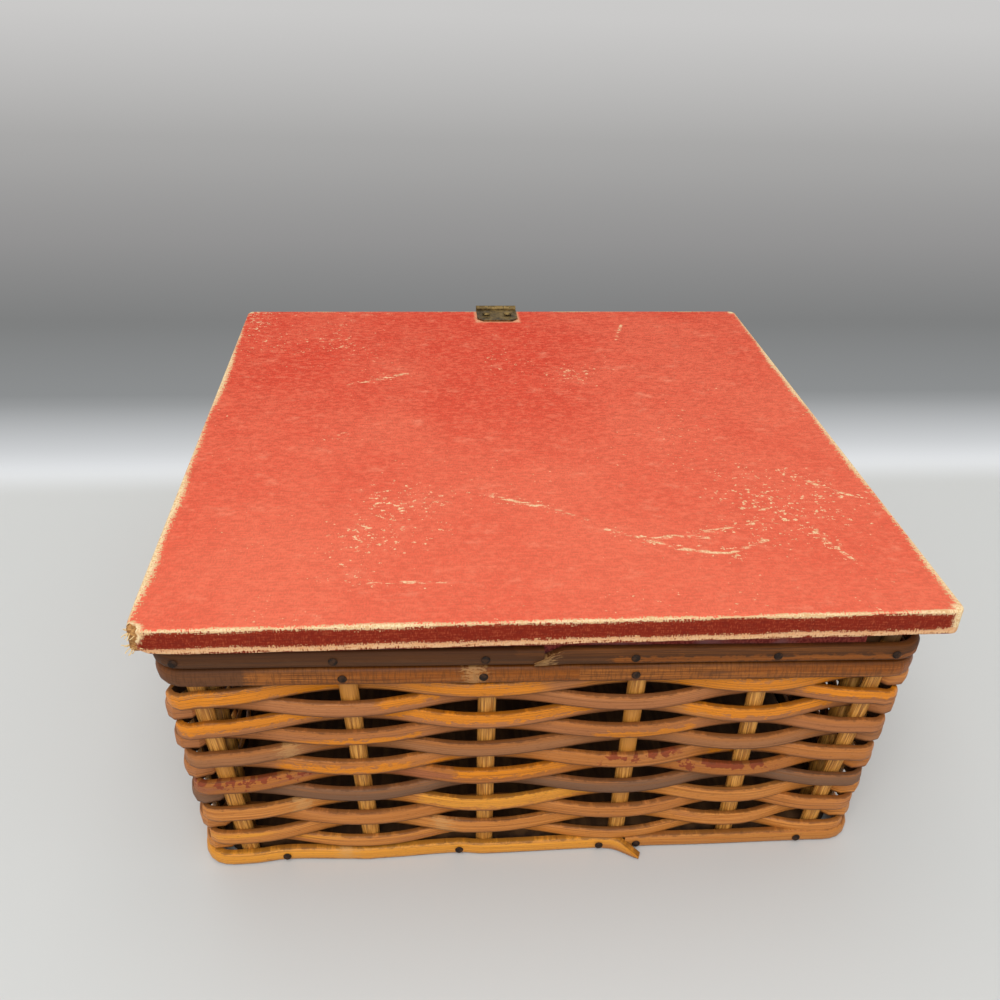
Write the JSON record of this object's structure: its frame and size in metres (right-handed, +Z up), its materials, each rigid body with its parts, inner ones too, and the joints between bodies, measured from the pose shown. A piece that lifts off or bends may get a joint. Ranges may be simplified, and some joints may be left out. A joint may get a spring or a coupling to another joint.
{
  "type": "sewing box",
  "caption": "Square woven cane sewing box with a cloth-covered lid, a cloth hinge at the back and a small hasp with a turn button.",
  "frame": {"origin": "middle of the flat underside of the base board, on the surface it stands on", "axes": "+Z up; +Y towards the front with the hasp, -Y towards the cloth hinge; +X to the right seen from the hinge side"},
  "size_m": [0.254, 0.2683, 0.111],
  "materials": {
    "base_wood": "bare plywood, darkened with age",
    "batten_wood": "bare softwood",
    "post_cane": "round cane, varnished",
    "stake_cane": "flat cane, fibrous, old varnish",
    "weaver_cane": "split cane, glossy old varnish",
    "rim_cane": "split cane, worn varnish",
    "reed_cane": "split cane, glossy old varnish",
    "lid_board": "tan pulp board",
    "book_cloth": "ribbed book cloth, scuffed",
    "hinge_cloth": "ribbed book cloth, darkened",
    "lining_paper": "plain matt paper",
    "aged_brass": "dark aged brass",
    "iron": "dark oxidised iron"
  },
  "bodies": {
    "basket": {"base_board": "base_wood", "corner_posts": "post_cane", "foot_nails": "iron", "foot_reed": "reed_cane", "hinge_cloth": "hinge_cloth", "keeper_nails": "aged_brass", "keeper_plate": "aged_brass", "rim_batten_back": "batten_wood", "rim_batten_front": "batten_wood", "rim_batten_left": "batten_wood", "rim_batten_right": "batten_wood", "rim_nails_lower": "iron", "rim_nails_upper": "iron", "rim_strip_lower": "rim_cane", "rim_strip_upper": "rim_cane", "stake_back_1": "stake_cane", "stake_back_2": "stake_cane", "stake_back_3": "stake_cane", "stake_back_4": "stake_cane", "stake_back_5": "stake_cane", "stake_back_6": "stake_cane", "stake_front_1": "stake_cane", "stake_front_2": "stake_cane", "stake_front_3": "stake_cane", "stake_front_4": "stake_cane", "stake_front_5": "stake_cane", "stake_front_6": "stake_cane", "stake_left_1": "stake_cane", "stake_left_2": "stake_cane", "stake_left_3": "stake_cane", "stake_left_4": "stake_cane", "stake_left_5": "stake_cane", "stake_left_6": "stake_cane", "stake_right_1": "stake_cane", "stake_right_2": "stake_cane", "stake_right_3": "stake_cane", "stake_right_4": "stake_cane", "stake_right_5": "stake_cane", "stake_right_6": "stake_cane", "weaver_01": "weaver_cane", "weaver_02": "weaver_cane", "weaver_03": "weaver_cane", "weaver_04": "weaver_cane", "weaver_05": "weaver_cane", "weaver_06": "weaver_cane", "weaver_07": "weaver_cane", "weaver_08": "weaver_cane", "weaver_09": "weaver_cane", "weaver_10": "weaver_cane", "weaver_11": "weaver_cane", "weaver_12": "weaver_cane"},
    "lid": {"lid_board": "lid_board", "lid_cover": "book_cloth", "lid_lining": "lining_paper", "hasp_leaf": "aged_brass", "hasp_pin": "aged_brass", "hasp_nails": "aged_brass"},
    "hasp": {"hasp_strap": "aged_brass"},
    "turn_button": {"keeper_button": "aged_brass"}
  },
  "joints": [
    {"name": "lid_hinge", "type": "hinge", "parent": "basket", "child": "lid", "pos_m": [0, -0.13, 0.1006], "axis": [1, 0, 0], "range_deg": [0, 180], "deforming": ["hinge_cloth"]},
    {"name": "hasp_swing", "type": "hinge", "parent": "lid", "child": "hasp", "pos_m": [0.0014, 0.1336, 0.1095], "axis": [1, 0, 0], "range_deg": [0, 235]},
    {"name": "button_turn", "type": "hinge", "parent": "basket", "child": "turn_button", "pos_m": [0.0014, 0.12776, 0.0898], "axis": [0, 0.9993, -0.0368], "range_deg": [0, 90]}
  ]
}
